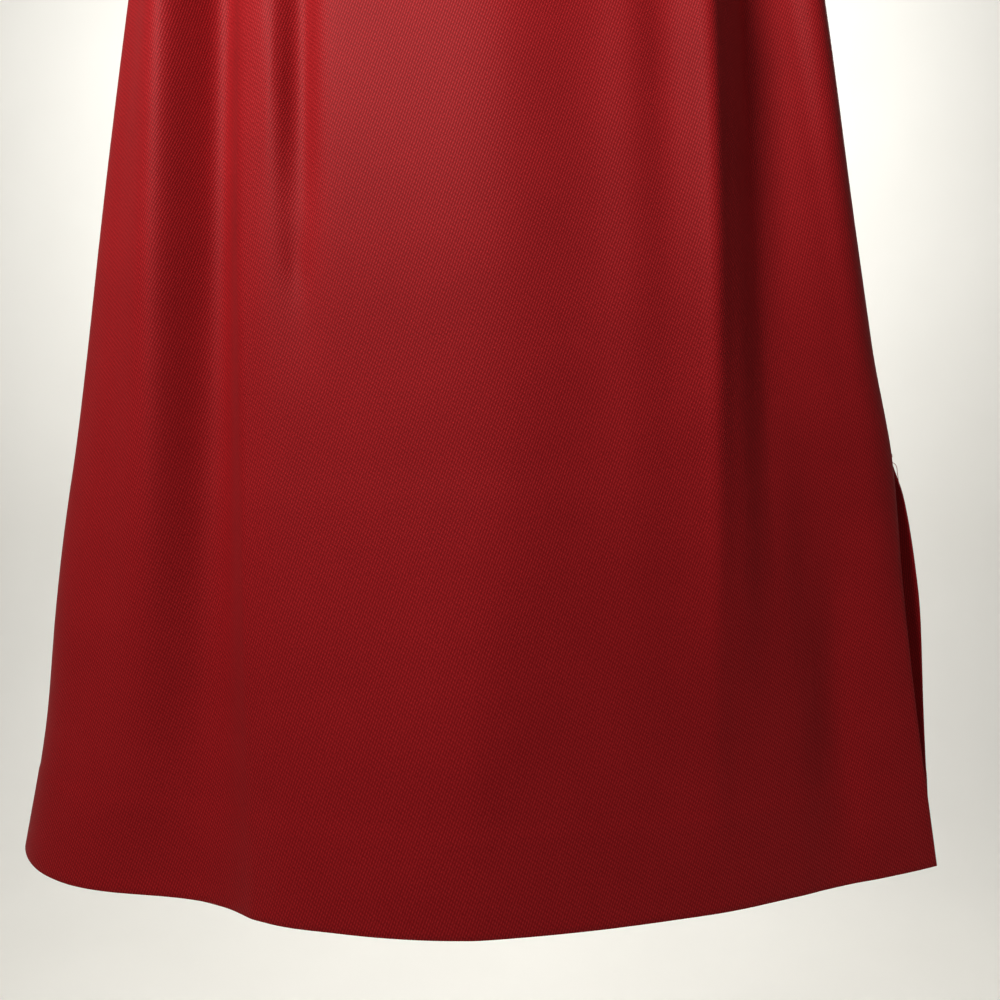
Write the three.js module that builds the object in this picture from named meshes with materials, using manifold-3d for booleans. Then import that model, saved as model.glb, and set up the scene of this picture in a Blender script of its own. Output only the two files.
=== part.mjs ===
// A pencil skirt that hangs by its waist, in millimetres. The origin is the middle of the waist's top edge,
// +z is up, the front faces -y and +x is the viewer's right. The skirt is a hollow tube of a front panel and
// two back panels under a waistband. It has a slit in the right side seam and a concealed zip at the centre
// back. Below, a drop is a distance down from the waist's top edge, measured at the middle of a panel.

import * as THREE from "three";
import { mergeVertices } from "three/addons/utils/BufferGeometryUtils.js";
import Module from "manifold-3d";

// Cloth
const CLOTH = 1.2;
const DOUBLE_CLOTH = 2.2;
const SEAM_GAP = 0.3;

// Skirt
const LENGTH = 640;
const HEM_RISE = 10;
const CORNER_RISE = 9;
const CORNER_POWER = 16;
const CORNER_FADE = 8;
const TURN_UP = 50;
const TURN_UP_EDGE = 1.5;
const SLIT_TOP = 414;
const SLIT_FACING = 30;
const ROW_HEIGHT = 24;
const FRONT_COLUMN = 11;
const BACK_COLUMN = 15;

// Waistband
const BAND_HEIGHT = 40;
const BAND_WALL = 2.4;
const BAND_PROUD = 0.6;
const BAND_COLUMNS = 72;
const BAND_ROWS = 3;

// Concealed zip at the centre back
const ZIP_END = 205;
const ZIP_GAP = 1.4;
const TAPE_WIDTH = 12;
const TAPE_WALL = 1;
const TAPE_TOP = 3;
const ZIP_ROW = 12;
const ZIP_COLUMNS = 2;
const COIL_WIDTH = 4;
const COIL_WALL = 1.5;
const COIL_TOP = 18;
const SLIDER = { top: 5, height: 10, width: 7, depth: 3 };
const WEB = { width: 0.7, radius: 1.4, hole: 0.8 };
const PIVOT = { drop: 10, proud: 2 };
const TAB = { length: 17, width: 5.4, neck: 3.4, thick: 1, notch: 2.2, ear: 1, pin: 0.5, tip: 2.7 };

/** Rows of numbers under named columns. */
function table(columns, ...rows) {
  return rows.map((row) => Object.fromEntries(columns.map((column, index) => [column, row[index]])));
}

// Cross-sections. left and right are half widths, and backRight is the back's own past the slit's top. front
// and back are how far each bulges. leftEdge, rightEdge and backEdge are the y of the side edges.
const SECTIONS = table(
  ["drop", "left", "right", "backRight", "front", "back", "leftEdge", "rightEdge", "backEdge"],
  [0, 168, 168, 168, 15.5, 14.5, 0, 0, 0],
  [40, 170, 170, 170, 18, 17, 0, 0, 0],
  [100, 178.5, 178, 178, 43, 24, 1, 0, 0],
  [180, 189, 189.5, 189.5, 56, 30, 2, 0, 0],
  [300, 204, 205, 205, 63, 33, 4, 0, 0],
  [360, 211.5, 214, 214, 64.5, 33.5, 6, -0.2, 0.4],
  [414, 218.5, 224.2, 224.2, 66, 34, 8, -0.5, 0.9],
  [437, 222, 226.3, 233.3, 67, 34, 9, -1.5, 5],
  [470, 226.5, 228.3, 240.2, 68, 34.5, 10.3, -3, 8],
  [503, 230.2, 231.3, 244.1, 69.7, 35.2, 11.6, -3, 9],
  [560, 235.5, 238, 246.4, 73, 36, 14, -2, 10],
  [640, 249, 249.5, 249.5, 77, 37, 18, 1, 9],
);

// How the right half of the front flattens out towards the slit: the powers of its curve.
const CLOSED_EDGE = { power: 2, root: 0.5 };
const OPEN_EDGE = { power: 1.35, root: 1 };
const OPEN_FROM = 300;
const OPEN_BY = 580;

// Folds. Each is a soft ridge (height over 0) or trough (under 0) that runs down a panel. top, middle and
// foot are its x at the drops of FOLD_TRACK, left and right are its widths on either side, flare is how many
// times wider it is at the hem, and waist, hip, knee and low are its heights at the drops of FOLD_DROPS.
const FOLD_TRACK = { top: 160, middle: 400, foot: 630 };
const FOLD_DROPS = { waist: 40, hip: 180, knee: 400, low: 630 };
const FOLD_COLUMNS = ["top", "middle", "foot", "left", "right", "flare", "waist", "hip", "knee", "low"];
const FRONT_FOLDS = table(
  FOLD_COLUMNS,
  [-160, -166, -176, 14, 12, 1.3, 0, 10, 7, 0],
  [-129, -132, -135, 16, 20, 1.2, 0, -20, -17, 0],
  [-142, -142, -142, 24, 15, 2.3, 0, 0, -3, -20],
  [-116, -117, -112, 8, 14, 1.6, 0, 6, 5, 0],
  [-86, -84, -72, 10, 8, 2, 0, -9, 0, -1],
  [12, 10, -20, 30, 24, 1.3, 0, 3, 2, 2],
  [58, 60, 60, 22, 18, 1.2, 0, -3, -2, 0],
  [92, 96, 100, 12, 12, 1.5, 0, -3, -1, 0],
  [117, 127, 132, 14, 8, 1.6, 0, 5, 4, 1],
  [143, 150, 168, 13, 34, 1.6, 0, -24, -13, -3],
);
const BACK_FOLDS = table(
  FOLD_COLUMNS,
  [132, 142, 156, 14, 24, 1.5, 0, -13, -10, -5],
  [92, 98, 104, 22, 16, 1.4, 0, 4.5, 5, 4.5],
  [46, 48, 54, 18, 20, 1.5, 0, -2.5, -3, -4.5],
  [-44, -52, -60, 20, 22, 1.4, 0, -2, -3.5, -3],
  [-90, -98, -112, 18, 22, 1.5, 0, 5, 4, 5.5],
  [-130, -144, -160, 24, 14, 1.6, 0, -15, -11, -7],
);
const EDGE_CALM = 0.12;

// Ranges of the angle across a panel
const WHOLE_PANEL = [0, Math.PI];
const RIGHT_HALF = [0, Math.PI / 2];
const LEFT_HALF = [Math.PI / 2, Math.PI];

const FINISHES = {
  cloth: { color: 0x8a1a1e, roughness: 0.75, metalness: 0 },
  tape: { color: 0x4a0d10, roughness: 0.85, metalness: 0 },
  metal: { color: 0x5c1518, roughness: 0.35, metalness: 0.6 },
};
const NORMAL_STEP = 1e-4;
const ARC_STEPS = 10;
const PIN_SIDES = 12;

function smoothStep(from, to, value) {
  const share = THREE.MathUtils.clamp((value - from) / (to - from), 0, 1);
  return share * share * (3 - 2 * share);
}

/** The slope of a smooth line through a row of [place, value], level where the line turns. */
function slopeAt(rows, index) {
  const steps = [index - 1, index]
    .filter((before) => before >= 0 && before < rows.length - 1)
    .map((before) => (rows[before + 1][1] - rows[before][1]) / (rows[before + 1][0] - rows[before][0]));
  if (steps.length === 1) return steps[0];
  return steps[0] * steps[1] > 0 ? (2 * steps[0] * steps[1]) / (steps[0] + steps[1]) : 0;
}

/** A smooth value between rows of [place, value] that never passes them, level past either end. */
function along(rows, place) {
  const last = rows.length - 1;
  if (place <= rows[0][0]) return rows[0][1];
  if (place >= rows[last][0]) return rows[last][1];
  const next = rows.findIndex((row) => row[0] > place);
  const index = next - 1;
  const span = rows[next][0] - rows[index][0];
  const t = (place - rows[index][0]) / span;
  const [cube, square] = [t * t * t, t * t];
  return (
    (2 * cube - 3 * square + 1) * rows[index][1] +
    (cube - 2 * square + t) * slopeAt(rows, index) * span +
    (3 * square - 2 * cube) * rows[next][1] +
    (cube - square) * slopeAt(rows, next) * span
  );
}

function section(column, drop) {
  return along(SECTIONS.map((row) => [row.drop, row[column]]), drop);
}

function foldPlace(fold, drop) {
  return along(Object.entries(FOLD_TRACK).map(([name, at]) => [at, fold[name]]), drop);
}

function foldHeight(fold, drop) {
  return along(Object.entries(FOLD_DROPS).map(([name, at]) => [at, fold[name]]), drop);
}

/** How far the folds together lift the cloth at one x. share is x as a part of the panel's half width. */
function folded(folds, x, share, drop) {
  let lift = 0;
  for (const fold of folds) {
    const away = x - foldPlace(fold, drop);
    const widening = 1 + (fold.flare - 1) * smoothStep(FOLD_TRACK.top, FOLD_TRACK.foot, drop);
    const width = widening * (away < 0 ? fold.left : fold.right);
    lift += foldHeight(fold, drop) * Math.exp(-((away / width) ** 2));
  }
  return lift * smoothStep(0, EDGE_CALM, 1 - Math.abs(share));
}

/** Height of a point of a panel. The hem is cut a little higher at the sides, and its left corner is rounded. */
function heightAt(share, drop) {
  const below = Math.max(0, drop - BAND_HEIGHT) / (LENGTH - BAND_HEIGHT);
  const corner = share < 0 ? CORNER_RISE * Math.abs(share) ** CORNER_POWER : 0;
  return -drop + below * HEM_RISE * share * share + below ** CORNER_FADE * corner;
}

/** A point of the front's outer face. The angle runs from 0 at the left edge to pi at the right one. */
function frontPoint(angle, drop) {
  const share = -Math.cos(angle);
  const x = share * section(share < 0 ? "left" : "right", drop);
  const opened = share < 0 ? 0 : smoothStep(OPEN_FROM, OPEN_BY, drop);
  const power = THREE.MathUtils.lerp(CLOSED_EDGE.power, OPEN_EDGE.power, opened);
  const root = THREE.MathUtils.lerp(CLOSED_EDGE.root, OPEN_EDGE.root, opened);
  const bulge = Math.max(0, 1 - Math.abs(share) ** power) ** root;
  const edge = THREE.MathUtils.lerp(section("leftEdge", drop), section("rightEdge", drop), (share + 1) / 2);
  const y = edge - section("front", drop) * bulge - folded(FRONT_FOLDS, x, share, drop) - SEAM_GAP / 2;
  return new THREE.Vector3(x, y, heightAt(share, drop));
}

/** A point of the back's outer face. The angle runs from 0 at the right edge to pi at the left one. */
function backPoint(angle, drop) {
  const share = Math.cos(angle);
  const x = share * section(share < 0 ? "left" : "backRight", drop);
  const [left, right] = [section("leftEdge", drop), section("backEdge", drop)];
  const bulge = Math.sqrt(Math.max(0, 1 - share * share));
  const edge = THREE.MathUtils.lerp(left, right, (share + 1) / 2);
  const depth = section("back", drop) - (left + right) / 2;
  const y = edge + depth * bulge + folded(BACK_FOLDS, x, share, drop) + SEAM_GAP / 2;
  return new THREE.Vector3(x, y, heightAt(share, drop));
}

/** The outward direction of a face, from points a small step away on either side. */
function outwardAt(pointAt, angle, drop, [first, last]) {
  const before = Math.max(first, angle - NORMAL_STEP);
  const after = Math.min(last, angle + NORMAL_STEP);
  const across = pointAt(after, drop).sub(pointAt(before, drop));
  const down = pointAt(angle, drop + NORMAL_STEP).sub(pointAt(angle, drop - NORMAL_STEP));
  return down.cross(across).normalize();
}

/** A closed wall from rows of outer points and rows of inner points. */
function wall(outer, inner) {
  const rows = outer.length;
  const columns = outer[0].length;
  const positions = [...outer.flat(), ...inner.flat()].flatMap((point) => point.toArray());
  const at = (side, row, column) => side * rows * columns + row * columns + column;
  const faces = [];
  const quad = (a, b, c, d) => faces.push(a, b, c, a, c, d);
  for (let row = 0; row < rows - 1; row += 1) {
    for (let column = 0; column < columns - 1; column += 1) {
      const corners = [[row, column], [row + 1, column], [row + 1, column + 1], [row, column + 1]];
      quad(...corners.map((corner) => at(0, ...corner)));
      quad(...corners.map((corner) => at(1, ...corner)).reverse());
    }
    quad(at(0, row, 0), at(1, row, 0), at(1, row + 1, 0), at(0, row + 1, 0));
    const [end, under] = [columns - 1, row + 1];
    quad(at(0, under, end), at(1, under, end), at(1, row, end), at(0, row, end));
  }
  for (let column = 0; column < columns - 1; column += 1) {
    quad(at(0, 0, column + 1), at(1, 0, column + 1), at(1, 0, column), at(0, 0, column));
    const [foot, next] = [rows - 1, column + 1];
    quad(at(0, foot, column), at(1, foot, column), at(1, foot, next), at(0, foot, next));
  }
  const geometry = new THREE.BufferGeometry();
  geometry.setAttribute("position", new THREE.Float32BufferAttribute(positions, 3));
  geometry.setIndex(faces);
  return geometry;
}

/** A closed wall over a grid. anglesAt gives the angles of the row at one drop, and wallAt its thickness. */
function sheet({ pointAt, anglesAt, drops, range, wallAt, inset = 0, place = (point) => point }) {
  const layer = (depthAt) =>
    drops.map((drop) =>
      anglesAt(drop).map((angle, column, angles) => {
        const point = pointAt(angle, drop);
        point.addScaledVector(outwardAt(pointAt, angle, drop, range), -depthAt(pointAt(angle, drop), drop));
        return place(point, drop, column, angles.length - 1);
      }),
    );
  return wall(layer(() => inset), layer((point, drop) => inset + wallAt(point, drop)));
}

function evenly(from, to, count) {
  return Array.from({ length: count + 1 }, (_, index) => THREE.MathUtils.lerp(from, to, index / count));
}

/** Drops of a panel's rows: even down to the turned-up hem, a close pair at its top edge, even to the end. */
function panelDrops() {
  const turnUp = LENGTH - TURN_UP;
  const first = BAND_HEIGHT + SEAM_GAP / 2;
  const body = evenly(first, turnUp, Math.round((turnUp - first) / ROW_HEIGHT));
  const hem = evenly(turnUp + TURN_UP_EDGE, LENGTH, Math.round(TURN_UP / ROW_HEIGHT));
  return [...body, ...hem];
}

/** Angles across a panel, evenly spaced between its ends and the lines of its folds, which they follow. */
function foldedAngles(folds, toAngle, [first, last], columnWidth) {
  const stops = (drop) => [first, ...folds.map((fold) => toAngle(foldPlace(fold, drop), drop)), last];
  const middle = stops(FOLD_TRACK.middle);
  const reach = section("left", FOLD_TRACK.middle);
  const counts = middle.slice(1).map((angle, index) => {
    const width = reach * Math.abs(Math.cos(angle) - Math.cos(middle[index]));
    return Math.max(1, Math.round(width / columnWidth));
  });
  return (drop) => {
    const here = stops(drop);
    return [first, ...counts.flatMap((count, index) => evenly(here[index], here[index + 1], count).slice(1))];
  };
}

const frontAngle = (x, drop) => Math.acos(-x / section(x < 0 ? "left" : "right", drop));
const backAngle = (x, drop) => Math.acos(x / section(x < 0 ? "left" : "backRight", drop));

/** Thickness of a panel: double at the turned-up hem and, on the right, at the slit's turned-in edge. */
function panelWall(widthName) {
  return (point, drop) => {
    const hem = drop > LENGTH - TURN_UP;
    const slit = drop > SLIT_TOP && section(widthName, drop) - point.x < SLIT_FACING;
    return hem || slit ? DOUBLE_CLOTH : CLOTH;
  };
}

function zipGapAt(drop) {
  return drop < ZIP_END ? ZIP_GAP : SEAM_GAP;
}

/** Moves the points of a centre back edge off the seam line. */
function partedAt(edgeColumn, side) {
  return (point, drop, column, lastColumn) => {
    if (column === edgeColumn(lastColumn)) point.x = (side * zipGapAt(drop)) / 2;
    return point;
  };
}

function frontPanel() {
  const anglesAt = foldedAngles(FRONT_FOLDS, frontAngle, WHOLE_PANEL, FRONT_COLUMN);
  return sheet({
    pointAt: frontPoint,
    anglesAt,
    drops: panelDrops(),
    range: WHOLE_PANEL,
    wallAt: panelWall("right"),
  });
}

function backPanel(side) {
  const range = side > 0 ? RIGHT_HALF : LEFT_HALF;
  const folds = BACK_FOLDS.filter((fold) => Math.sign(fold.top) === side);
  return sheet({
    pointAt: backPoint,
    anglesAt: foldedAngles(folds, backAngle, range, BACK_COLUMN),
    drops: panelDrops(),
    range,
    wallAt: panelWall("backRight"),
    place: partedAt((last) => (side > 0 ? last : 0), side),
  });
}

/** A point of the waistband's outer face. The angle runs once round, from the centre back by the left. */
function bandPoint(angle, drop) {
  const x = -section("left", drop) * Math.sin(angle);
  const y = section(Math.cos(angle) > 0 ? "back" : "front", drop) * Math.cos(angle);
  const outward = new THREE.Vector3(x / section("left", drop), y / section("back", drop), 0).normalize();
  return new THREE.Vector3(x, y, -drop).addScaledVector(outward, BAND_PROUD);
}

function waistband() {
  const end = Math.asin(ZIP_GAP / 2 / section("left", 0));
  const range = [end, 2 * Math.PI - end];
  return sheet({
    pointAt: bandPoint,
    anglesAt: () => evenly(...range, BAND_COLUMNS),
    drops: evenly(0, BAND_HEIGHT - SEAM_GAP / 2, BAND_ROWS),
    range,
    wallAt: () => BAND_WALL,
  });
}

/** A strip inside the centre back, between two x, that follows the outer face at one depth inside it. */
function zipStrip(fromX, toX, top, inset, thickness) {
  const angles = (drop) => evenly(backAngle(toX, drop), backAngle(fromX, drop), ZIP_COLUMNS);
  return sheet({
    pointAt: backPoint,
    anglesAt: angles,
    drops: evenly(top, ZIP_END - TAPE_TOP, Math.round((ZIP_END - top) / ZIP_ROW)),
    range: WHOLE_PANEL,
    wallAt: () => thickness,
    inset,
  });
}

const TAPE_INSET = BAND_WALL - BAND_PROUD + 2 * SEAM_GAP;
const COIL_INSET = TAPE_INSET + TAPE_WALL + SEAM_GAP;

/** The library that joins and cuts solids. */
const solids = await Module();
solids.setup();

function toSolid(geometry) {
  const bare = geometry.clone();
  bare.deleteAttribute("normal");
  bare.deleteAttribute("uv");
  const merged = mergeVertices(bare);
  const vertProperties = new Float32Array(merged.attributes.position.array);
  const triVerts = new Uint32Array(merged.index.array);
  return new solids.Manifold(new solids.Mesh({ numProp: 3, vertProperties, triVerts }));
}

function toGeometry(solid) {
  const mesh = solid.getMesh();
  const geometry = new THREE.BufferGeometry();
  geometry.setAttribute("position", new THREE.BufferAttribute(mesh.vertProperties, 3));
  geometry.setIndex(new THREE.BufferAttribute(mesh.triVerts, 1));
  return geometry;
}

function joined(geometries) {
  return toGeometry(geometries.map(toSolid).reduce((whole, piece) => whole.add(piece)));
}

function extruded(outline, depth) {
  return new THREE.ExtrudeGeometry(outline, { depth, bevelEnabled: false, curveSegments: ARC_STEPS });
}

/** Where the pull tab turns: proud of the band's outer face at the centre back. */
const bandFace = section("back", PIVOT.drop) + BAND_PROUD;
const pivot = new THREE.Vector3(0, bandFace + PIVOT.proud, -PIVOT.drop);

/** The slider: a body on the coil side, and a thin web that comes out between the band's ends to an eye. */
function slider() {
  const bodyFront = bandFace - BAND_PROUD - COIL_INSET;
  const body = new THREE.BoxGeometry(SLIDER.width, SLIDER.depth, SLIDER.height);
  body.translate(0, bodyFront - SLIDER.depth / 2, -SLIDER.top - SLIDER.height / 2);
  const outline = new THREE.Shape();
  outline.moveTo(bodyFront - SLIDER.depth / 2, pivot.z - WEB.radius);
  outline.lineTo(pivot.y, pivot.z - WEB.radius);
  outline.absarc(pivot.y, pivot.z, WEB.radius, -Math.PI / 2, Math.PI / 2, false);
  outline.lineTo(bodyFront - SLIDER.depth / 2, pivot.z + WEB.radius);
  outline.closePath();
  outline.holes.push(new THREE.Path().absarc(pivot.y, pivot.z, WEB.hole, 0, 2 * Math.PI, true));
  const web = extruded(outline, WEB.width);
  const turned = new THREE.Matrix4().set(0, 0, 1, -WEB.width / 2, 1, 0, 0, 0, 0, 1, 0, 0, 0, 0, 0, 1);
  web.applyMatrix4(turned);
  return joined([body, web]);
}

/** The pull tab: a drop-shaped plate with two ears and the pin that turns in the slider's eye. */
function pullTab() {
  const shoulder = pivot.z - TAB.notch;
  const tipCentre = pivot.z - TAB.length + TAB.tip;
  const outline = new THREE.Shape();
  outline.moveTo(-TAB.neck / 2, shoulder);
  outline.lineTo(-TAB.tip, tipCentre);
  outline.absarc(0, tipCentre, TAB.tip, Math.PI, 2 * Math.PI, false);
  outline.lineTo(TAB.neck / 2, shoulder);
  outline.closePath();
  const plate = extruded(outline, TAB.thick);
  plate.rotateX(Math.PI / 2);
  plate.translate(0, pivot.y + TAB.thick / 2, 0);
  const earHeight = TAB.notch + 2 * TAB.pin;
  const ears = [-1, 1].map((side) => {
    const ear = new THREE.BoxGeometry(TAB.ear, TAB.thick, earHeight);
    return ear.translate((side * (TAB.neck - TAB.ear)) / 2, pivot.y, shoulder + earHeight / 2 - TAB.pin / 2);
  });
  const pin = new THREE.CylinderGeometry(TAB.pin, TAB.pin, TAB.neck - TAB.ear, PIN_SIDES);
  pin.rotateZ(Math.PI / 2);
  pin.translate(pivot.x, pivot.y, pivot.z);
  return joined([plate, ...ears, pin]);
}

function named(name, geometry, finish) {
  const mesh = new THREE.Mesh(geometry, new THREE.MeshStandardMaterial(finish));
  mesh.name = name;
  return mesh;
}

const inCloth = (name, geometry) => named(name, geometry, FINISHES.cloth);
const inTape = (name, geometry) => named(name, geometry, FINISHES.tape);
const inMetal = (name, geometry) => named(name, geometry, FINISHES.metal);

const skirt = new THREE.Group();
skirt.add(inCloth("front_panel", frontPanel()));
skirt.add(inCloth("back_panel_right", backPanel(1)));
skirt.add(inCloth("back_panel_left", backPanel(-1)));
skirt.add(inCloth("waistband", waistband()));
skirt.add(inTape("zip_tape_right", zipStrip(ZIP_GAP / 2, TAPE_WIDTH, TAPE_TOP, TAPE_INSET, TAPE_WALL)));
skirt.add(inTape("zip_tape_left", zipStrip(-TAPE_WIDTH, -ZIP_GAP / 2, TAPE_TOP, TAPE_INSET, TAPE_WALL)));
skirt.add(inTape("zip_coil", zipStrip(-COIL_WIDTH / 2, COIL_WIDTH / 2, COIL_TOP, COIL_INSET, COIL_WALL)));
skirt.add(inMetal("zip_slider", slider()));
skirt.add(inMetal("zip_pull", pullTab()));

export default skirt;
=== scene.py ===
# A red twill pencil skirt that hangs by its waist. Lengths are in metres unless a name says otherwise, +z is
# up and the front faces -y. A drop is a distance down from the waist's top edge, at the middle of a panel.

import functools
import math

import bmesh
import bpy
import numpy as np
from mathutils import Matrix, Vector


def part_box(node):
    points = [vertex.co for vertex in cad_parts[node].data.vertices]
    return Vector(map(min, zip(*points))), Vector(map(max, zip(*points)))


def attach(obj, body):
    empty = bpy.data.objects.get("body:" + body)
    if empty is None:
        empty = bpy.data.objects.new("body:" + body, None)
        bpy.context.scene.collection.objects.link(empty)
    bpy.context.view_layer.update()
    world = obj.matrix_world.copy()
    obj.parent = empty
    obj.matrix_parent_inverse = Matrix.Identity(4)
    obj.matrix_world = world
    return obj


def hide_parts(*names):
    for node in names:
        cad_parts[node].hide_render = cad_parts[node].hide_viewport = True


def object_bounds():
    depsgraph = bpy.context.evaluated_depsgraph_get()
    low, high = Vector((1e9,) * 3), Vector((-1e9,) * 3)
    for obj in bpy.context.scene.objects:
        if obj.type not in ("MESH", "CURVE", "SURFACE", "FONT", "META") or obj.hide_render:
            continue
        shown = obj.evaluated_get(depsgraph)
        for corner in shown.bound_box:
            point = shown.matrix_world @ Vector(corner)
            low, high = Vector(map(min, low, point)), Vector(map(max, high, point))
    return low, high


bl_info = {
    "name": "Pencil Skirt",
    "version": (1, 0, 0),
    "blender": (4, 5, 0),
    "location": "View3D > Sidebar > Skirt",
    "description": "Builds a red twill pencil skirt with soft folds, a side slit and a concealed zip",
    "category": "Add Mesh",
}

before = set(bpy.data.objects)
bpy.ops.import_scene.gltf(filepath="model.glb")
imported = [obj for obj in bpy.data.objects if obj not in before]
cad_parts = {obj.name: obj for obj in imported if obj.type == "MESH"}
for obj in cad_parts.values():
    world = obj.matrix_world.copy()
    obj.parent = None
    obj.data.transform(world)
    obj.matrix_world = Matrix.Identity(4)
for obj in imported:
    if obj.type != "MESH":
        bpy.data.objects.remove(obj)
CAD_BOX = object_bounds()

MM = 0.001
BODY = "skirt"
LENGTH = CAD_BOX[1].z - CAD_BOX[0].z
BAND_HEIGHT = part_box("waistband")[1].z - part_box("waistband")[0].z
HEM_RISE = 10 * MM
CORNER_RISE = 9 * MM
CORNER_POWER = 16
CORNER_FADE = 8
SLIT_TOP = 414 * MM
OPEN_FROM = 300 * MM
OPEN_BY = 580 * MM
ZIP_END = 205 * MM
ZIP_GAP = 1.4 * MM
ZIP_CLOSE = 8 * MM
SEAM_GAP = 0.3 * MM
PARTED_REACH = 4 * MM
BAND_PROUD = 0.6 * MM
EDGE_CALM = 0.12

# The power and the root of the front's curve, where the side seam is closed and where the slit is open.
CLOSED_EDGE = (2, 0.5)
OPEN_EDGE = (1.35, 1)


def table(columns, *rows):
    """Rows of numbers under named columns."""
    return [dict(zip(columns.split(), row)) for row in rows]


# Cross-sections in millimetres. left and right are half widths, back_right is the back's own past the slit's
# top. front and back are how far each bulges. The edges are the y of the side seams.
SECTIONS = table(
    "drop left right back_right front back left_edge right_edge back_edge",
    (0, 168, 168, 168, 15.5, 14.5, 0, 0, 0),
    (40, 170, 170, 170, 18, 17, 0, 0, 0),
    (100, 178.5, 178, 178, 43, 24, 1, 0, 0),
    (180, 189, 189.5, 189.5, 56, 30, 2, 0, 0),
    (300, 204, 205, 205, 63, 33, 4, 0, 0),
    (360, 211.5, 214, 214, 64.5, 33.5, 6, -0.2, 0.4),
    (414, 218.5, 224.2, 224.2, 66, 34, 8, -0.5, 0.9),
    (437, 222, 226.3, 233.3, 67, 34, 9, -1.5, 5),
    (470, 226.5, 228.3, 240.2, 68, 34.5, 10.3, -3, 8),
    (503, 230.2, 231.3, 244.1, 69.7, 35.2, 11.6, -3, 9),
    (560, 235.5, 238, 246.4, 73, 36, 14, -2, 10),
    (640, 249, 249.5, 249.5, 77, 37, 18, 1, 9),
)

# Folds in millimetres. x_top, x_middle and x_foot are the place of a fold's line, left and right its widths
# on either side, flare how many times wider it is at the hem, and waist, hip, knee and low its heights.
TRACK_DROPS = (160, 400, 630)
HEIGHT_DROPS = (40, 180, 400, 630)
FOLD_COLUMNS = "x_top x_middle x_foot left right flare waist hip knee low"
FRONT_FOLDS = table(
    FOLD_COLUMNS,
    (-160, -166, -176, 14, 12, 1.3, 0, 10, 7, 0),
    (-129, -132, -135, 16, 20, 1.2, 0, -20, -17, 0),
    (-142, -142, -142, 24, 15, 2.3, 0, 0, -3, -20),
    (-116, -117, -112, 8, 14, 1.6, 0, 6, 5, 0),
    (-86, -84, -72, 10, 8, 2, 0, -9, 0, -1),
    (12, 10, -20, 30, 24, 1.3, 0, 3, 2, 2),
    (58, 60, 60, 22, 18, 1.2, 0, -3, -2, 0),
    (92, 96, 100, 12, 12, 1.5, 0, -3, -1, 0),
    (117, 127, 132, 14, 8, 1.6, 0, 5, 4, 1),
    (143, 150, 168, 13, 34, 1.6, 0, -24, -13, -3),
)
BACK_FOLDS = table(
    FOLD_COLUMNS,
    (132, 142, 156, 14, 24, 1.5, 0, -13, -10, -5),
    (92, 98, 104, 22, 16, 1.4, 0, 4.5, 5, 4.5),
    (46, 48, 54, 18, 20, 1.5, 0, -2.5, -3, -4.5),
    (-44, -52, -60, 20, 22, 1.4, 0, -2, -3.5, -3),
    (-90, -98, -112, 18, 22, 1.5, 0, 5, 4, 5.5),
    (-130, -144, -160, 24, 14, 1.6, 0, -15, -11, -7),
)


def smooth_step(start, end, value):
    """From 0 at the start to 1 at the end, level at both."""
    share = np.clip((value - start) / (end - start), 0, 1)
    return share * share * (3 - 2 * share)


def lerp(a, b, share):
    return a + (b - a) * share


def smooth_between(places, values, place):
    """A smooth value between rows that never passes them, level past either end."""
    places, values = np.asarray(places, float), np.asarray(values, float)
    steps = np.diff(values) / np.diff(places)
    before, after = steps[:-1], steps[1:]
    same = before * after > 0
    inner = np.where(same, 2 * before * after / np.where(same, before + after, 1), 0)
    slopes = np.concatenate([steps[:1], inner, steps[-1:]])
    place = np.clip(place, places[0], places[-1])
    row = np.clip(np.searchsorted(places, place, side="right") - 1, 0, len(places) - 2)
    span = places[row + 1] - places[row]
    t = (place - places[row]) / span
    cube, square = t**3, t**2
    return (
        (2 * cube - 3 * square + 1) * values[row]
        + (cube - 2 * square + t) * slopes[row] * span
        + (3 * square - 2 * cube) * values[row + 1]
        + (cube - square) * slopes[row + 1] * span
    )


@functools.lru_cache(maxsize=None)
def section(column, drop):
    """One number of the cross-section at a drop."""
    places = [row["drop"] * MM for row in SECTIONS]
    return smooth_between(places, [row[column] * MM for row in SECTIONS], drop)


@functools.lru_cache(maxsize=None)
def folds_at(front, drop):
    """Place, left width, right width and height of each fold of the front or the back at one drop."""
    spread = smooth_step(TRACK_DROPS[0] * MM, TRACK_DROPS[-1] * MM, drop)
    found = []
    for fold in FRONT_FOLDS if front else BACK_FOLDS:
        tracks = [fold[name] * MM for name in ("x_top", "x_middle", "x_foot")]
        heights = [fold[name] * MM for name in ("waist", "hip", "knee", "low")]
        place = smooth_between(np.array(TRACK_DROPS) * MM, tracks, drop)
        height = smooth_between(np.array(HEIGHT_DROPS) * MM, heights, drop)
        widening = (1 + (fold["flare"] - 1) * spread) * MM
        found.append((place, fold["left"] * widening, fold["right"] * widening, height))
    return found


def folded(front, x, share, drop):
    """How far the folds together lift the cloth at each x."""
    lift = np.zeros_like(x)
    for place, left, right, height in folds_at(front, drop):
        away = x - place
        lift += height * np.exp(-((away / np.where(away < 0, left, right)) ** 2))
    return lift * smooth_step(0, EDGE_CALM, 1 - np.abs(share))


def height_at(share, drop):
    """Height of a panel's points. The hem is a little higher at the sides, its left corner rounded."""
    below = np.maximum(0, drop - BAND_HEIGHT) / (LENGTH - BAND_HEIGHT)
    corner = np.where(share < 0, CORNER_RISE * np.abs(share) ** CORNER_POWER, 0)
    return -drop + below * HEM_RISE * share**2 + below**CORNER_FADE * corner


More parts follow.
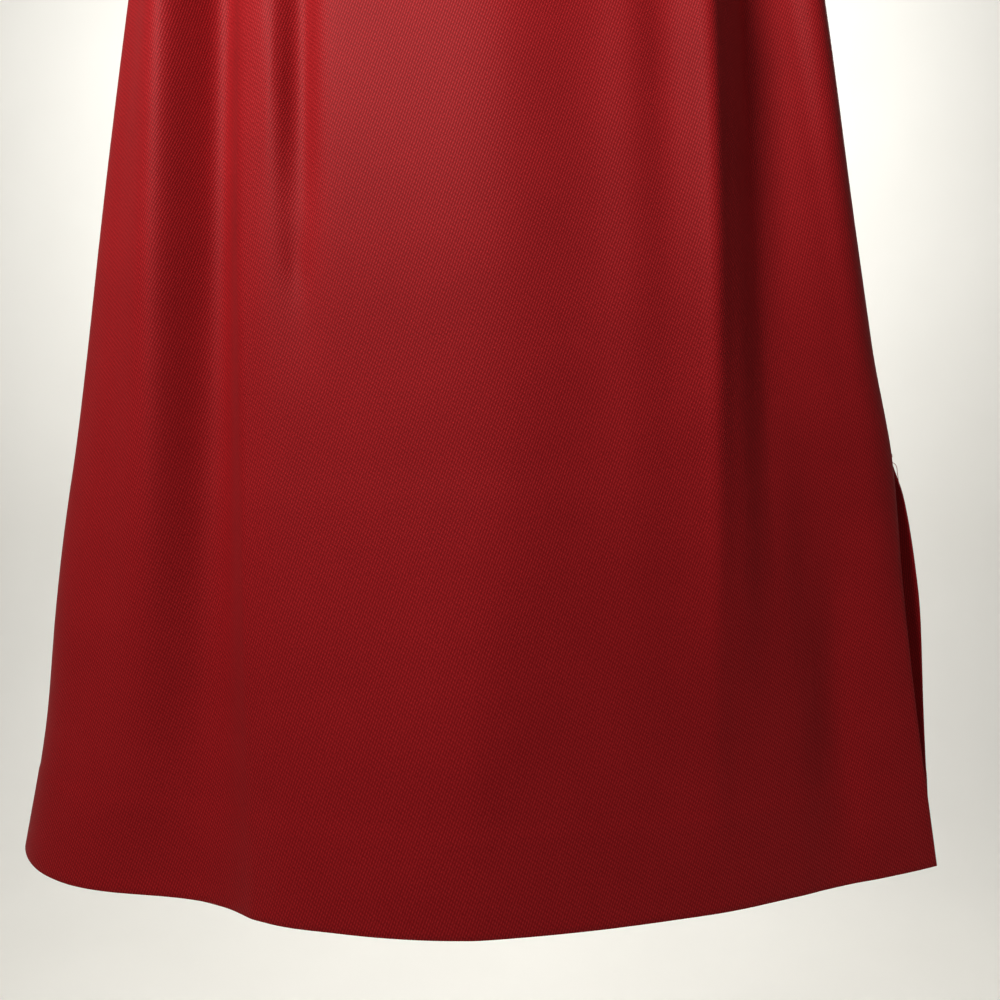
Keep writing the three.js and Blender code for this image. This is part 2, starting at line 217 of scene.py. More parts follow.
def front_points(angle, drop):
    """Points of the front's outer face. The angle runs from 0 at the left edge to pi at the right one."""
    share = -np.cos(angle)
    x = share * np.where(share < 0, section("left", drop), section("right", drop))
    opened = np.where(share < 0, 0, smooth_step(OPEN_FROM, OPEN_BY, drop))
    power, root = (lerp(closed, open_one, opened) for closed, open_one in zip(CLOSED_EDGE, OPEN_EDGE))
    bulge = np.maximum(0, 1 - np.abs(share) ** power) ** root
    edge = lerp(section("left_edge", drop), section("right_edge", drop), (share + 1) / 2)
    y = edge - section("front", drop) * bulge - folded(True, x, share, drop) - SEAM_GAP / 2
    return np.stack([x, y, height_at(share, drop)], -1)


def back_points(angle, drop):
    """Points of the back's outer face. The angle runs from 0 at the right edge to pi at the left one."""
    share = np.cos(angle)
    x = share * np.where(share < 0, section("left", drop), section("back_right", drop))
    left, right = section("left_edge", drop), section("back_edge", drop)
    bulge = np.sqrt(np.maximum(0, 1 - share**2))
    edge = lerp(left, right, (share + 1) / 2)
    depth = section("back", drop) - (left + right) / 2
    y = edge + depth * bulge + folded(False, x, share, drop) + SEAM_GAP / 2
    return np.stack([x, y, height_at(share, drop)], -1)


# Small creases of the front in millimetres: a place, a half width across, a half length down, how far the
# line leans to the right per unit down, and a height.
CREASES = table(
    "x drop across down lean height",
    (-87, 318, 5, 16, 0.05, -1.6),
    (-86, 235, 5, 60, 0.02, -1.7),
    (-99, 240, 5, 60, 0.03, 1.7),
    (46, 350, 3, 7, 0.8, -0.5),
    (133, 560, 12, 60, 0.02, -1.5),
    (176, 520, 12, 90, -0.05, 1.6),
    (196, 590, 9, 50, 0.1, -1.2),
    (-60, 470, 26, 90, 0.05, -0.8),
    (-205, 380, 9, 80, -0.1, -1.2),
    (-127, 380, 7, 240, 0.02, -2.4),
    (-113.5, 390, 4, 250, 0.02, 1.5),
    (117, 290, 4, 190, 0.015, 1.4),
    (127, 290, 5, 190, 0.015, -1.8),
    (155, 500, 17, 115, 0.06, 5),
    (186, 500, 18, 110, 0.02, -3),
)

# Darts, as the share of a panel's width where each is sewn, and how they are pressed.
FRONT_DARTS = (0.29, 0.71)
BACK_DART = 0.48
DART_LENGTH = 95 * MM
DART_DEPTH = 0.6 * MM
DART_WIDTH = 0.8 * MM
DART_COLUMNS = (-1.6, -0.8, 0, 0.8, 1.6)
DART_CLEAR = 2.2

# How the cloth is laid out as a grid, and how its edges turn in.
CLOTH_STEP = 3.2 * MM
ACROSS_STEPS = 720
ROLL = 0.65 * MM
ROLL_STEPS = 4
TURN_STEPS = 5
PROBE = 0.05 * MM
TUCK = 0.75 * MM
HEM_RIDGE = 0.3 * MM
HEM_STEP = 2 * MM
BAND_EDGE = 2.8 * MM


def unit(vectors):
    return vectors / np.maximum(np.linalg.norm(vectors, axis=-1, keepdims=True), 1e-12)


def arc_lengths(points):
    return np.concatenate([[0], np.cumsum(np.linalg.norm(np.diff(points, axis=0), axis=1))])


def sizes():
    return bpy.context.scene.skirt_sizes


def colours():
    return bpy.context.scene.skirt_colours


def creased(x, drop):
    """How far the small creases lift the front at each x."""
    lift = np.zeros_like(x)
    for crease in CREASES:
        down = drop - crease["drop"] * MM
        across = (x - crease["x"] * MM - crease["lean"] * down) / (crease["across"] * MM)
        lift += crease["height"] * MM * np.exp(-(across**2) - (down / (crease["down"] * MM)) ** 2)
    return lift


class Panel:
    """A cut piece of cloth: where its points lie, how its edges turn in and where its darts are sewn."""

    def __init__(self, points_at, first, last, turn_first, turn_last, darts=(), creases=None, part=(0, 0)):
        self.points_at = points_at
        self.angles = np.linspace(first, last, ACROSS_STEPS + 1)
        self.turn_first, self.turn_last = turn_first, turn_last
        self.darts = darts
        self.creases = creases
        self.part = part

    def line(self, drop):
        """The panel's points at one drop, with the edges of the centre back moved apart."""
        points = self.points_at(self.angles, drop)
        lengths = arc_lengths(points)
        gap = lerp(ZIP_GAP, SEAM_GAP, smooth_step(ZIP_END - ZIP_CLOSE, ZIP_END, drop))
        for side, from_edge in zip(self.part, (lengths, lengths[-1] - lengths)):
            points[:, 0] += side * gap / 2 * np.exp(-from_edge / PARTED_REACH)
        return points

    def row(self, drop):
        """Points, outward, across and down directions, and lengths along one row."""
        points = self.line(drop)
        across = np.gradient(points, axis=0)
        down = self.line(drop + PROBE) - self.line(drop - PROBE)
        outward = unit(np.cross(down, across))
        if self.creases:
            points = points + outward * self.creases(points[:, 0], drop)[:, None]
        return points, outward, unit(across), unit(down), arc_lengths(points)

    def columns(self, total, widest):
        """Places along a row, evenly spaced, with a few more beside each dart."""
        count = round(widest / CLOTH_STEP)
        shares = np.linspace(0, 1, count + 1)
        beside = np.array(DART_COLUMNS) * DART_WIDTH / widest
        for dart in self.darts:
            shares = shares[np.abs(shares - dart) > DART_CLEAR * DART_WIDTH / widest]
            shares = np.sort(np.concatenate([shares, dart + beside]))
        return ROLL + shares * (total - 2 * ROLL), shares

    def grooves(self, shares, widest, drop):
        """How deep the darts draw the cloth in at each column."""
        fade = 1 - smooth_step(BAND_HEIGHT + DART_LENGTH / 2, BAND_HEIGHT + DART_LENGTH, drop)
        depth = np.zeros_like(shares)
        for dart in self.darts:
            depth += DART_DEPTH * fade * np.exp(-(((shares - dart) * widest / DART_WIDTH) ** 2))
        return depth


def turned(width):
    """Places past an edge that rolls in and runs back: how far back, how far out and how deep each is."""
    turns = np.linspace(0, math.pi, ROLL_STEPS + 1)[1:]
    rolled = [(0, ROLL * math.sin(turn), ROLL * (1 - math.cos(turn)), ROLL * turn) for turn in turns]
    runs = np.linspace(0, width, TURN_STEPS + 1)[1:]
    return rolled + [(run, 0, 2 * ROLL, ROLL * math.pi + run) for run in runs]


def sampled(values, lengths, at):
    return np.stack([np.interp(at, lengths, values[:, axis]) for axis in range(3)], -1)


def panel_drops():
    """Drops of a panel's rows, from just under the waistband to the hem's fold."""
    tucked = BAND_HEIGHT + np.array([-3 * MM, -1.5 * MM, 0, 1.3 * MM, BAND_EDGE])
    count = round((LENGTH - BAND_HEIGHT) / CLOTH_STEP)
    return np.concatenate([tucked, np.linspace(tucked[-1], LENGTH - ROLL, count + 1)[1:]])


def laid_out(panel):
    """A panel's points in rows and columns, and the same points on the flat cloth."""
    drops = panel_drops()
    foot = drops[-1]
    lines = [(drop, 0, 0, drop) for drop in drops]
    lines += [(foot - back, out, deep, foot + run) for back, out, deep, run in turned(sizes().turn_up)]
    widest = panel.row(foot)[4][-1]
    grid, flat = [], []
    for drop, out, deep, flat_drop in lines:
        points, outward, across, down, lengths = panel.row(drop)
        main, shares = panel.columns(lengths[-1], widest)
        first, last = main[0], main[-1]
        before = turned(panel.turn_first(drop))
        after = turned(panel.turn_last(drop))
        places = [(first + back, -way, depth, first - run) for back, way, depth, run in reversed(before)]
        grooves = panel.grooves(shares, widest, drop)
        places += [(place, 0, groove, place) for place, groove in zip(main, grooves)]
        places += [(last - back, way, depth, last + run) for back, way, depth, run in after]
        at, sideways, depth, flat_at = np.array(places).T
        tuck = TUCK * (1 - smooth_step(BAND_HEIGHT, BAND_HEIGHT + BAND_EDGE, drop))
        ridge = HEM_RIDGE * smooth_step(-HEM_STEP, HEM_STEP, drop - (LENGTH - sizes().turn_up))
        here = sampled(points, lengths, at)
        here += sampled(across, lengths, at) * sideways[:, None]
        here += sampled(down, lengths, at) * out
        here -= unit(sampled(outward, lengths, at)) * (depth + deep + tuck - ridge)[:, None]
        grid.append(here)
        middle = np.interp(math.pi / 2, panel.angles, lengths)
        flat.append(np.stack([flat_at - middle, np.full_like(flat_at, -flat_drop)], -1))
    return np.array(grid), np.array(flat)


def cloth_mesh(name, grid, flat):
    """A grid of faces moved onto the points, with the flat cloth as its UV map."""
    rows, columns = grid.shape[:2]
    model = bmesh.new()
    pattern = model.loops.layers.uv.new("Flat cloth")
    bmesh.ops.create_grid(model, x_segments=columns - 1, y_segments=rows - 1, size=0.5)
    for vert in model.verts:
        row = round((0.5 + vert.co.y) * (rows - 1))
        column = round((vert.co.x + 0.5) * (columns - 1))
        vert.co = grid[row, column]
        for loop in vert.link_loops:
            loop[pattern].uv = flat[row, column]
    bmesh.ops.reverse_faces(model, faces=model.faces)
    for face in model.faces:
        face.smooth = True
    return as_object(name, model)


def as_object(name, model):
    mesh = bpy.data.meshes.new(name)
    model.to_mesh(mesh)
    model.free()
    piece = bpy.data.objects.new(name, mesh)
    bpy.context.scene.collection.objects.link(piece)
    return piece


def cloth_piece(name, grid, flat, node):
    """A thin shell of cloth that stands for its solid, and the size of its cut."""
    piece = cloth_mesh(name, grid, flat)
    shell = piece.modifiers.new("Cloth thickness", "SOLIDIFY")
    shell.thickness = sizes().cloth
    shell.offset = -1
    piece.data.materials.append(twill())
    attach(piece, BODY)
    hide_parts(node)
    return piece


class Wire:
    """A shader socket that takes part in sums, so that an expression adds its own Math nodes."""

    def __init__(self, tree, socket):
        self.tree, self.socket = tree, socket

    def math(self, operation, *values):
        node = self.tree.nodes.new("ShaderNodeMath")
        node.operation = operation
        for socket, value in zip(node.inputs, values):
            connect(self.tree, value, socket)
        return Wire(self.tree, node.outputs[0])

    def __add__(self, other):
        return self.math("ADD", self, other)

    def __radd__(self, other):
        return self.math("ADD", other, self)

    def __sub__(self, other):
        return self.math("SUBTRACT", self, other)

    def __rsub__(self, other):
        return self.math("SUBTRACT", other, self)

    def __mul__(self, other):
        return self.math("MULTIPLY", self, other)

    def __rmul__(self, other):
        return self.math("MULTIPLY", other, self)

    def __truediv__(self, other):
        return self.math("DIVIDE", self, other)

    def wave(self):
        """From 0 to 1 and back once for each whole number."""
        return self.math("COSINE", self * math.tau, 0) * 0.5 + 0.5

    def held(self):
        """Kept between 0 and 1."""
        return self.math("MINIMUM", self.math("MAXIMUM", self, 0), 1)


def connect(tree, value, socket):
    if isinstance(value, Wire):
        tree.links.new(value.socket, socket)
    else:
        socket.default_value = value


class Finish:
    """A material and the nodes that make it."""

    def __init__(self, name):
        self.material = bpy.data.materials.new(name)
        self.material.use_nodes = True
        self.tree = self.material.node_tree
        self.tree.nodes.clear()

    def node(self, kind, settings=(), inputs=(), outputs=(0,)):
        """A node of any kind: its settings first, then its inputs, and the outputs that are wanted."""
        node = self.tree.nodes.new(kind)
        for name, value in dict(settings).items():
            setattr(node, name, value)
        for name, value in dict(inputs).items():
            connect(self.tree, value, node.inputs[name])
        wires = [Wire(self.tree, node.outputs[output]) for output in outputs]
        return wires[0] if len(wires) == 1 else wires

    def vector(self, x, y, z=0.0):
        return self.node("ShaderNodeCombineXYZ", inputs={"X": x, "Y": y, "Z": z})

    def noise(self, vector, scale, detail=2.0, roughness=0.5):
        inputs = {"Vector": vector, "Scale": scale, "Detail": detail, "Roughness": roughness}
        return self.node("ShaderNodeTexNoise", inputs=inputs)

    def mixed(self, factor, first, second):
        """From the first colour to the second."""
        return self.node(
            "ShaderNodeMix", {"data_type": "RGBA"}, {0: factor, 6: first, 7: second}, outputs=(2,)
        )

    def bumped(self, height, distance, strength=1.0):
        inputs = {"Height": height, "Distance": distance, "Strength": strength}
        return self.node("ShaderNodeBump", inputs=inputs)

    def surface(self, **inputs):
        """The shader and the output, with inputs named as the shader names them."""
        labels = [name.replace("_", " ").title().replace("Ior", "IOR") for name in inputs]
        named = dict(zip(labels, inputs.values()))
        shader = self.node("ShaderNodeBsdfPrincipled", inputs=named)
        self.node("ShaderNodeOutputMaterial", inputs={"Surface": shader}, outputs=())
        return self.material


def finish_once(make):
    """Makes a material the first time and gives the same one afterwards."""

    def give():
        name = make.__name__
        return bpy.data.materials.get(name) or make(Finish(name))

    return give


@finish_once
def twill(finish):
    """Steep twill: raised broken wales in a lighter red over a deep red ground."""
    wale_slope = math.tan(sizes().wale_slope)
    pattern = finish.node("ShaderNodeUVMap", {"uv_map": "Flat cloth"})
    u, v = finish.node("ShaderNodeSeparateXYZ", inputs={0: pattern}, outputs=("X", "Y"))
    wobble = finish.noise(finish.vector(u * 3, v), 90) - 0.5
    wales = (u - v / wale_slope) / sizes().wale_spacing + wobble * 0.5
    floats = (v / sizes().float_length + wales * 0.43).wave()
    yarn = wales.wave() * (floats * 0.6 + 0.4)
    melange = finish.noise(finish.vector(u, v * 0.6), 1500, detail=1.0) - 0.5
    cloudy = finish.noise(pattern, 22, detail=3.0) - 0.5
    lift = (yarn * 1.05 + melange * 1.1 + cloudy * 0.3 - 0.05).held()
    return finish.surface(
        base_color=finish.mixed(lift, tuple(colours().ground), tuple(colours().wale)),
        roughness=0.66 - yarn * 0.1,
        specular_ior_level=0.15,
        sheen_weight=0.06,
        sheen_roughness=0.4,
        sheen_tint=(1.0, 0.4, 0.4, 1.0),
        normal=finish.bumped(yarn + melange * 0.3, 0.14 * MM, 0.8),
    )


@finish_once
def zip_tape(finish):
    """Ribbed woven tape."""
    place = finish.node("ShaderNodeTexCoord", outputs=("Object",))
    x, z = finish.node("ShaderNodeSeparateXYZ", inputs={0: place}, outputs=("X", "Z"))
    rib = (z / (0.7 * MM)).wave() * (x / (0.9 * MM)).wave()
    tone = (rib * 0.5 + finish.noise(place, 900) * 0.4).held()
    return finish.surface(
        base_color=finish.mixed(tone, tuple(colours().tape), tuple(colours().tape_light)),
        roughness=0.8 - rib * 0.1,
        normal=finish.bumped(rib, 0.08 * MM, 0.6),
    )


@finish_once
def zip_nylon(finish):
    """The smooth nylon of the zip's coil."""
    place = finish.node("ShaderNodeTexCoord", outputs=("Object",))
    tone = finish.noise(place, 700)
    return finish.surface(
        base_color=finish.mixed(tone, tuple(colours().tape), tuple(colours().nylon)),
        roughness=0.35 + tone * 0.1,
    )


@finish_once
def zip_metal(finish):
    """Painted metal, rubbed a little brighter in patches."""
    place = finish.node("ShaderNodeTexCoord", outputs=("Object",))
    worn = (finish.noise(place, 420, detail=4.0) * 2.4 - 0.9).held()
    return finish.surface(
        base_color=finish.mixed(worn, tuple(colours().metal), tuple(colours().metal_worn)),
        metallic=0.25 + worn * 0.3,
        roughness=0.32 + worn * 0.12,
        normal=finish.bumped(worn, 0.02 * MM, 0.4),
    )


@finish_once
def thread(finish):
    """Twisted sewing thread."""
    place = finish.node("ShaderNodeTexCoord", outputs=("Object",))
    tone = finish.noise(place, 2500)
    return finish.surface(
        base_color=finish.mixed(tone, tuple(colours().ground), tuple(colours().thread)), roughness=0.7
    )


@finish_once
def plain_stage(finish):
    """The pale floor and wall."""
    place = finish.node("ShaderNodeTexCoord", outputs=("Object",))
    tone = finish.noise(place, 3.0)
    return finish.surface(
        base_color=finish.mixed(tone, tuple(colours().stage_low), tuple(colours().stage_high)),
        roughness=0.9,
        specular_ior_level=0.1,
    )


def colour(name, red, green, blue):
    return bpy.props.FloatVectorProperty(
        name=name,
        description=f"Colour of the {name.lower()}",
        subtype="COLOR",
        size=4,
        min=0,
        max=1,
        default=(red, green, blue, 1),
    )


def distance(name, description, millimetres):
    return bpy.props.FloatProperty(
        name=name,
        description=description,
        default=millimetres * MM,
        min=0,
        subtype="DISTANCE",
        unit="LENGTH",
    )


class SkirtSizes(bpy.types.PropertyGroup):
    """Sizes of the cloth and of its turnings."""

    cloth: distance("Cloth", "Thickness of one layer of cloth", 0.6)
    turn_up: distance("Turn-up", "Height of the hem that is turned up inside", 50)
    seam_turn: distance("Seam turning", "Width of cloth pressed back inside a seam", 12)
    slit_turn: distance("Slit turning", "Width of cloth turned in along the slit", 30)
    wale_spacing: distance("Wale spacing", "Distance across from one raised line to the next", 1.36)
    float_length: distance("Float length", "Distance down from one float to the next", 1.8)
    wale_slope: bpy.props.FloatProperty(
        name="Wale slope",
        description="Angle of the raised lines above the weft",
        default=math.radians(70),
        subtype="ANGLE",
        unit="ROTATION",
    )


class SkirtColours(bpy.types.PropertyGroup):
    """Colours of the cloth, the zip and the stage."""

    ground: colour("Ground", 0.24, 0.003, 0.005)
    wale: colour("Wales", 0.5, 0.014, 0.018)
    thread: colour("Thread", 0.5, 0.06, 0.06)
    tape: colour("Tape", 0.09, 0.004, 0.006)
    tape_light: colour("Tape's ribs", 0.2, 0.01, 0.014)
    nylon: colour("Coil", 0.28, 0.012, 0.018)
    metal: colour("Slider", 0.2, 0.008, 0.012)
    metal_worn: colour("Worn slider", 0.4, 0.07, 0.07)
    stage_low: colour("Stage", 0.74, 0.73, 0.69)
    stage_high: colour("Stage's light", 0.8, 0.79, 0.75)


# The waistband's fold at its top, and the turning behind its lower edge.
BAND_FOLD = 1.3 * MM
BAND_TURN = 8 * MM
BAND_SPREAD = 4 * MM

# The zip's coil: two springs of nylon whose turns lie between each other, and how far behind the cloth.
COIL_TOP = 18 * MM
COIL_FOOT = 202 * MM
COIL_DEPTH = 4.45 * MM
COIL_PITCH = 1.3 * MM
COIL_RADII = (1.05 * MM, 0.5 * MM)
COIL_APART = 0.72 * MM
COIL_WIRE = 0.22 * MM
COIL_TURN_STEPS = 10

# The loose end of thread at the slit's top: points from the seam, to the right, outward and up.
THREAD_PATH = (
    (-3, 0.2, 0.5),
    (-1.2, -0.6, 1.2),
    (0.2, -0.4, -0.8),
    (-1, 0.2, -2.6),
    (0.8, 0.4, -4),
    (2.4, 0.2, -5.5),
    (3.4, 0.6, -10),
    (4.2, 0.4, -16.5),
)
THREAD_RADIUS = 0.16 * MM


def seam_turn(drop):
    return sizes().seam_turn


def slit_turn(drop):
    """The turning beside the slit's seam, which widens below the slit's top."""
    opened = smooth_step(SLIT_TOP, SLIT_TOP + 12 * MM, drop)
    return lerp(sizes().seam_turn, sizes().slit_turn, opened)


def make_panel(name, panel, node):
    grid, flat = laid_out(panel)
    return cloth_piece(name, grid, flat, node)


class MakeFrontPanel(bpy.types.Operator):
    """Lay out the front panel with its folds, creases, darts, hem and seam turnings."""

    bl_idname = "skirt.front_panel"
    bl_label = "Front panel"

    def execute(self, context):
        panel = Panel(front_points, 0, math.pi, seam_turn, slit_turn, darts=FRONT_DARTS, creases=creased)
        make_panel("front_panel_cloth", panel, "front_panel")
        return {"FINISHED"}


class MakeBackPanels(bpy.types.Operator):
    """Lay out the two back panels, which meet at the zip and the centre back seam."""

    bl_idname = "skirt.back_panels"
    bl_label = "Back panels"

    def execute(self, context):
        half = math.pi / 2
        right = Panel(back_points, 0, half, slit_turn, seam_turn, darts=(BACK_DART,), part=(0, 1))
        left = Panel(back_points, half, math.pi, seam_turn, seam_turn, darts=(1 - BACK_DART,), part=(-1, 0))
        make_panel("back_panel_right_cloth", right, "back_panel_right")
        make_panel("back_panel_left_cloth", left, "back_panel_left")
        return {"FINISHED"}


def band_section():
    """Drop and depth along the waistband's section: up inside, over the top, down outside and back."""
    foot = BAND_HEIGHT - SEAM_GAP / 2
    rows = [(drop, 2 * BAND_FOLD) for drop in np.linspace(foot, BAND_FOLD, 11)]
    for turn in np.linspace(0, math.pi, 9)[1:]:
        rows.append((BAND_FOLD * (1 - math.sin(turn)), BAND_FOLD * (1 + math.cos(turn))))
    rows += [(drop, 0) for drop in np.linspace(BAND_FOLD, foot - ROLL, 13)[1:]]
    for turn in np.linspace(0, math.pi, ROLL_STEPS + 1)[1:]:
        rows.append((foot - ROLL + ROLL * math.sin(turn), ROLL * (1 - math.cos(turn))))
    rows += [(drop, 2 * ROLL) for drop in np.linspace(foot - ROLL, foot - ROLL - BAND_TURN, 4)[1:]]
    return np.array(rows)


def band_points(angles, drop, depth):
    """Points of the waistband at a depth under its outer face, once round from the centre back."""
    half_width, back = section("left", drop), section("back", drop)
    x = -half_width * np.sin(angles)
    y = np.where(np.cos(angles) > 0, back, section("front", drop)) * np.cos(angles)
    outward = unit(np.stack([x / half_width, y / back, np.zeros_like(x)], -1))
    return np.stack([x, y, np.full_like(x, -drop)], -1) + outward * (BAND_PROUD - depth)[:, None]


class MakeWaistband(bpy.types.Operator):
    """Fold the waistband over the panels' tops, open at the centre back."""

    bl_idname = "skirt.waistband"
    bl_label = "Waistband"

    def execute(self, context):
        end = math.asin(ZIP_GAP / 2 / section("left", 0))
        angles = np.linspace(end, math.tau - end, ACROSS_STEPS + 1)
        lengths = arc_lengths(band_points(angles, 0, np.zeros_like(angles)))
        total = lengths[-1]
        near = BAND_FOLD * (1 - np.cos(np.linspace(0, math.pi / 2, 5)))
        middle = np.linspace(near[-1], total - near[-1], round(total / BAND_SPREAD) + 1)[1:-1]
        places = np.concatenate([near, middle, total - near[::-1]])
        at = np.interp(places, lengths, angles)
        from_end = np.minimum(places, total - places)
        closing = np.sqrt(1 - (1 - np.minimum(from_end / BAND_FOLD, 1)) ** 2)
        rows = band_section()
        deep = np.concatenate([[0], np.cumsum(np.hypot(*np.diff(rows, axis=0).T))])
        grid = [band_points(at, drop, BAND_FOLD + (depth - BAND_FOLD) * closing) for drop, depth in rows]
        flat = [np.stack([places - total / 2, np.full_like(places, -run)], -1) for run in deep]
        cloth_piece("waistband_cloth", np.array(grid), np.array(flat), "waistband")
        return {"FINISHED"}


def coil_spring(model, side):
    """Winds one spring of the coil round the z axis. The other one's turns lie half a turn away."""
    ring = bmesh.ops.create_circle(model, segments=6, radius=COIL_WIRE, cap_ends=False)["verts"]
    stand = Matrix.Translation((1, 0, 0)) @ Matrix.Rotation(math.pi / 2, 4, "X")
    phase = Matrix.Rotation(0 if side > 0 else math.pi, 4, "Z")
    bmesh.ops.transform(model, matrix=phase @ stand, verts=ring)
    edges = list({edge for vert in ring for edge in vert.link_edges})
    bmesh.ops.spin(
        model,
        geom=ring + edges,
        cent=(0, 0, 0),
        axis=(0, 0, 1),
        dvec=(0, 0, -COIL_PITCH / COIL_TURN_STEPS),
        angle=math.tau,
        steps=COIL_TURN_STEPS,
    )
    turn = model.verts[:] + model.edges[:] + model.faces[:]
    for count in range(1, round((COIL_FOOT - COIL_TOP) / COIL_PITCH)):
        copied = bmesh.ops.duplicate(model, geom=turn)["geom"]
        verts = [item for item in copied if isinstance(item, bmesh.types.BMVert)]
        bmesh.ops.translate(model, vec=(0, 0, -COIL_PITCH * count), verts=verts)
    bmesh.ops.remove_doubles(model, verts=model.verts, dist=COIL_WIRE / 50)


def coil_shaped(model, side):
    """Flattens a spring to the coil's section, beside the centre back and behind the cloth."""
    drops = np.linspace(COIL_TOP, COIL_FOOT, 60)
    cloth = [back_points(np.array([math.pi / 2]), drop)[0][1] for drop in drops]
    for vert in model.verts:
        wide = Vector((vert.co.x, vert.co.y))
        wire = wide.length - 1
        heading = wide.normalized()
        drop = COIL_TOP - vert.co.z
        vert.co.x = side * COIL_APART + heading.x * (COIL_RADII[0] + wire)
        vert.co.y = np.interp(drop, drops, cloth) - COIL_DEPTH + heading.y * (COIL_RADII[1] + wire)
        vert.co.z = -drop


class MakeZip(bpy.types.Operator):
    """Wind the zip's coil, and give the tapes, the slider and the pull tab their finishes."""

    bl_idname = "skirt.zip"
    bl_label = "Zip"

    def execute(self, context):
        model = bmesh.new()
        for side in (-1, 1):
            spring = bmesh.new()
            coil_spring(spring, side)
            coil_shaped(spring, side)
            bmesh.ops.holes_fill(spring, edges=[edge for edge in spring.edges if edge.is_boundary])
            bmesh.ops.recalc_face_normals(spring, faces=spring.faces)
            mesh = bpy.data.meshes.new("spring")
            spring.to_mesh(mesh)
            spring.free()
            model.from_mesh(mesh)
            bpy.data.meshes.remove(mesh)
        for face in model.faces:
            face.smooth = True
        coil = as_object("zip_coil_teeth", model)
        coil.data.materials.append(zip_nylon())
        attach(coil, BODY)
        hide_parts("zip_coil")
        finishes = {
            "zip_tape_right": zip_tape,
            "zip_tape_left": zip_tape,
            "zip_slider": zip_metal,
            "zip_pull": zip_metal,
        }
        for node, finish in finishes.items():
            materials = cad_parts[node].data.materials
            materials.clear()
            materials.append(finish())
        return {"FINISHED"}


class MakeSlitThread(bpy.types.Operator):
    """Leave a loose end of sewing thread at the slit's top."""

    bl_idname = "skirt.slit_thread"
    bl_label = "Slit's thread"

    def execute(self, context):
        seam = Vector(front_points(np.array([math.pi]), SLIT_TOP)[0])
        curve = bpy.data.curves.new("slit_thread", "CURVE")
        curve.dimensions = "3D"
        curve.bevel_depth = THREAD_RADIUS
        curve.bevel_resolution = 2
        curve.use_fill_caps = True
        line = curve.splines.new("BEZIER")
        line.bezier_points.add(len(THREAD_PATH) - 1)
        for point, place in zip(line.bezier_points, THREAD_PATH):
            point.co = seam + Vector(place) * MM
            point.handle_left_type = point.handle_right_type = "AUTO"
        line.resolution_u = 6
        end = bpy.data.objects.new("slit_thread", curve)
        context.scene.collection.objects.link(end)
        end.data.materials.append(thread())
        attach(end, BODY)
        return {"FINISHED"}


# The camera, and the stage: the floor's height, the wall's y, how wide both are and how they join.
CAMERA_PLACE = (0.013, -0.54, -0.432)
CAMERA_LENS = 36
CAMERA_SENSOR = 36
FLOOR = -1.3
WALL = 2.2
STAGE_SIZE = 24
COVE = 0.8

# Lights, with their power in watts.
LIGHTS = table(
    "name place target size power tint",
    ("key_light", (-0.4, -0.56, 0.28), (-0.05, -0.05, 0.02), 0.25, 8.6, (1, 0.98, 0.95)),
    ("fill_light", (0.9, -1.3, 0.2), (0.1, 0, -0.3), 1.0, 1.5, (0.97, 0.98, 1)),
    ("wall_light", (0, 0.5, 0.9), (0, 2.2, 0.5), 1.6, 64, (1, 0.99, 0.97)),
    ("back_light", (0.8, 1.3, 0.5), (0, 0, -0.3), 0.5, 7, (1, 0.99, 0.97)),
)
SKY = (1.0, 0.99, 0.965, 1)
SKY_STRENGTH = 0.12


def add_light(name, place, target, size, power, tint):
    light = bpy.data.lights.new(name, "AREA")
    light.shape = "DISK"
    light.size = size
    light.energy = power
    light.color = tint
    lamp = bpy.data.objects.new(name, light)
    lamp.location = place
    lamp.rotation_euler = (Vector(target) - Vector(place)).to_track_quat("-Z", "Y").to_euler()
    bpy.context.scene.collection.objects.link(lamp)


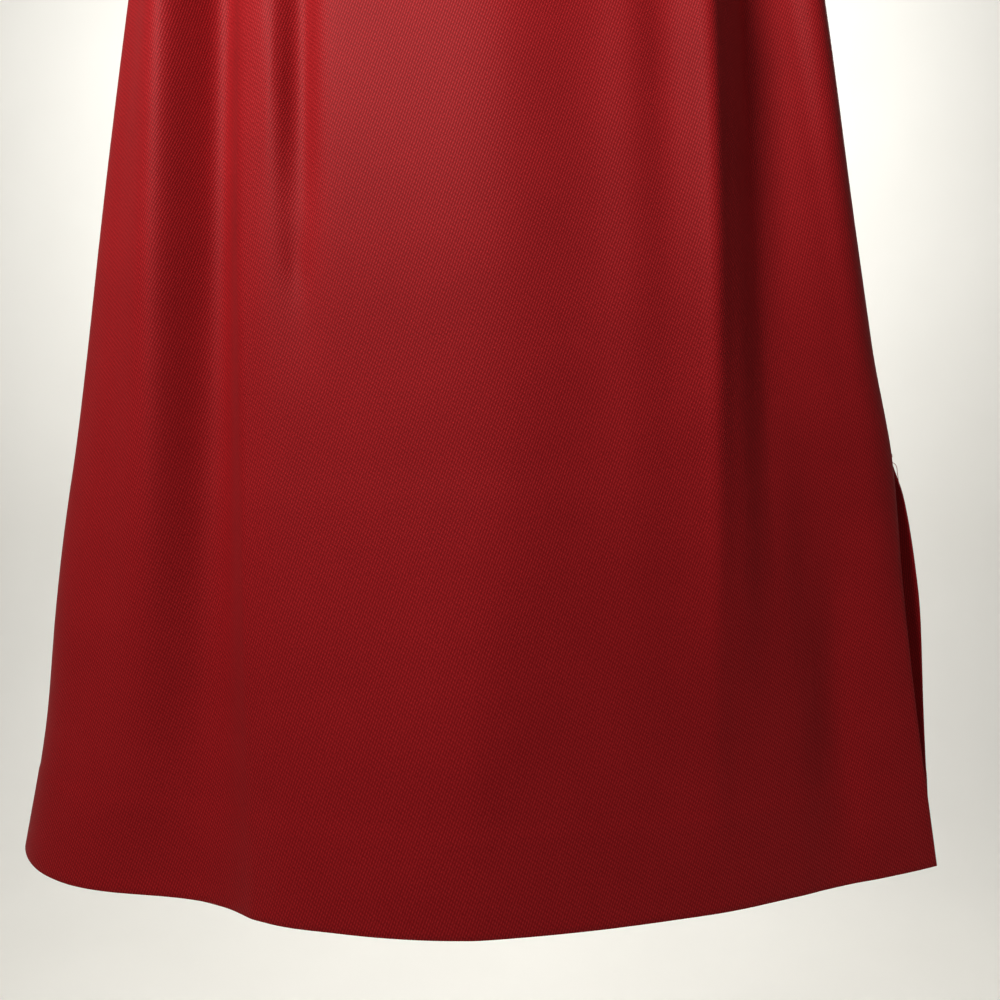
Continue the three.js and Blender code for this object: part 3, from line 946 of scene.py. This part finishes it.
class MakeStage(bpy.types.Operator):
    """Set up the camera, the soft studio light and the pale floor that curves up into a wall."""

    bl_idname = "skirt.stage"
    bl_label = "Stage"

    def execute(self, context):
        scene = context.scene
        camera = bpy.data.cameras.new("camera")
        camera.lens = CAMERA_LENS
        camera.sensor_width = CAMERA_SENSOR
        holder = bpy.data.objects.new("camera", camera)
        holder.location = CAMERA_PLACE
        holder.rotation_euler = (math.pi / 2, 0, 0)
        scene.collection.objects.link(holder)
        scene.camera = holder
        scene.view_settings.view_transform = "Standard"

        model = bmesh.new()
        bmesh.ops.create_grid(model, x_segments=1, y_segments=1, size=STAGE_SIZE / 2)
        bmesh.ops.translate(model, vec=(0, WALL - STAGE_SIZE / 2, FLOOR), verts=model.verts)
        rear = [edge for edge in model.edges if all(vert.co.y > 0 for vert in edge.verts)]
        raised = bmesh.ops.extrude_edge_only(model, edges=rear)["geom"]
        risen = [item for item in raised if isinstance(item, bmesh.types.BMVert)]
        bmesh.ops.translate(model, vec=(0, 0, STAGE_SIZE / 2), verts=risen)
        cove = [edge for edge in rear if edge.is_valid]
        bmesh.ops.bevel(
            model, geom=cove, offset=COVE, segments=16, profile=0.5, affect="EDGES", material=-1
        )
        for face in model.faces:
            face.smooth = True
        stage = as_object("stage", model)
        stage.data.materials.append(plain_stage())

        for light in LIGHTS:
            add_light(**light)
        world = bpy.data.worlds.new("studio")
        world.use_nodes = True
        background = world.node_tree.nodes["Background"]
        background.inputs["Color"].default_value = SKY
        background.inputs["Strength"].default_value = SKY_STRENGTH
        scene.world = world
        return {"FINISHED"}


class SkirtPanel(bpy.types.Panel):
    """Lists the skirt's pieces, sizes and colours."""

    bl_idname = "VIEW3D_PT_pencil_skirt"
    bl_label = "Pencil Skirt"
    bl_space_type = "VIEW_3D"
    bl_region_type = "UI"
    bl_category = "Skirt"

    def draw(self, context):
        for group in (context.scene.skirt_sizes, context.scene.skirt_colours):
            for name in group.__annotations__:
                self.layout.prop(group, name)
        for maker in MAKERS:
            self.layout.operator(maker.bl_idname)


MAKERS = (MakeStage, MakeFrontPanel, MakeBackPanels, MakeWaistband, MakeZip, MakeSlitThread)
CLASSES = (SkirtSizes, SkirtColours, *MAKERS, SkirtPanel)


def register():
    for one in CLASSES:
        bpy.utils.register_class(one)
    bpy.types.Scene.skirt_sizes = bpy.props.PointerProperty(type=SkirtSizes)
    bpy.types.Scene.skirt_colours = bpy.props.PointerProperty(type=SkirtColours)


def unregister():
    del bpy.types.Scene.skirt_colours
    del bpy.types.Scene.skirt_sizes
    for one in reversed(CLASSES):
        bpy.utils.unregister_class(one)


def main():
    register()
    bpy.ops.skirt.stage()
    bpy.ops.skirt.front_panel()
    bpy.ops.skirt.back_panels()
    bpy.ops.skirt.waistband()
    bpy.ops.skirt.zip()
    bpy.ops.skirt.slit_thread()
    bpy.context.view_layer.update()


if __name__ == "__main__":
    main()
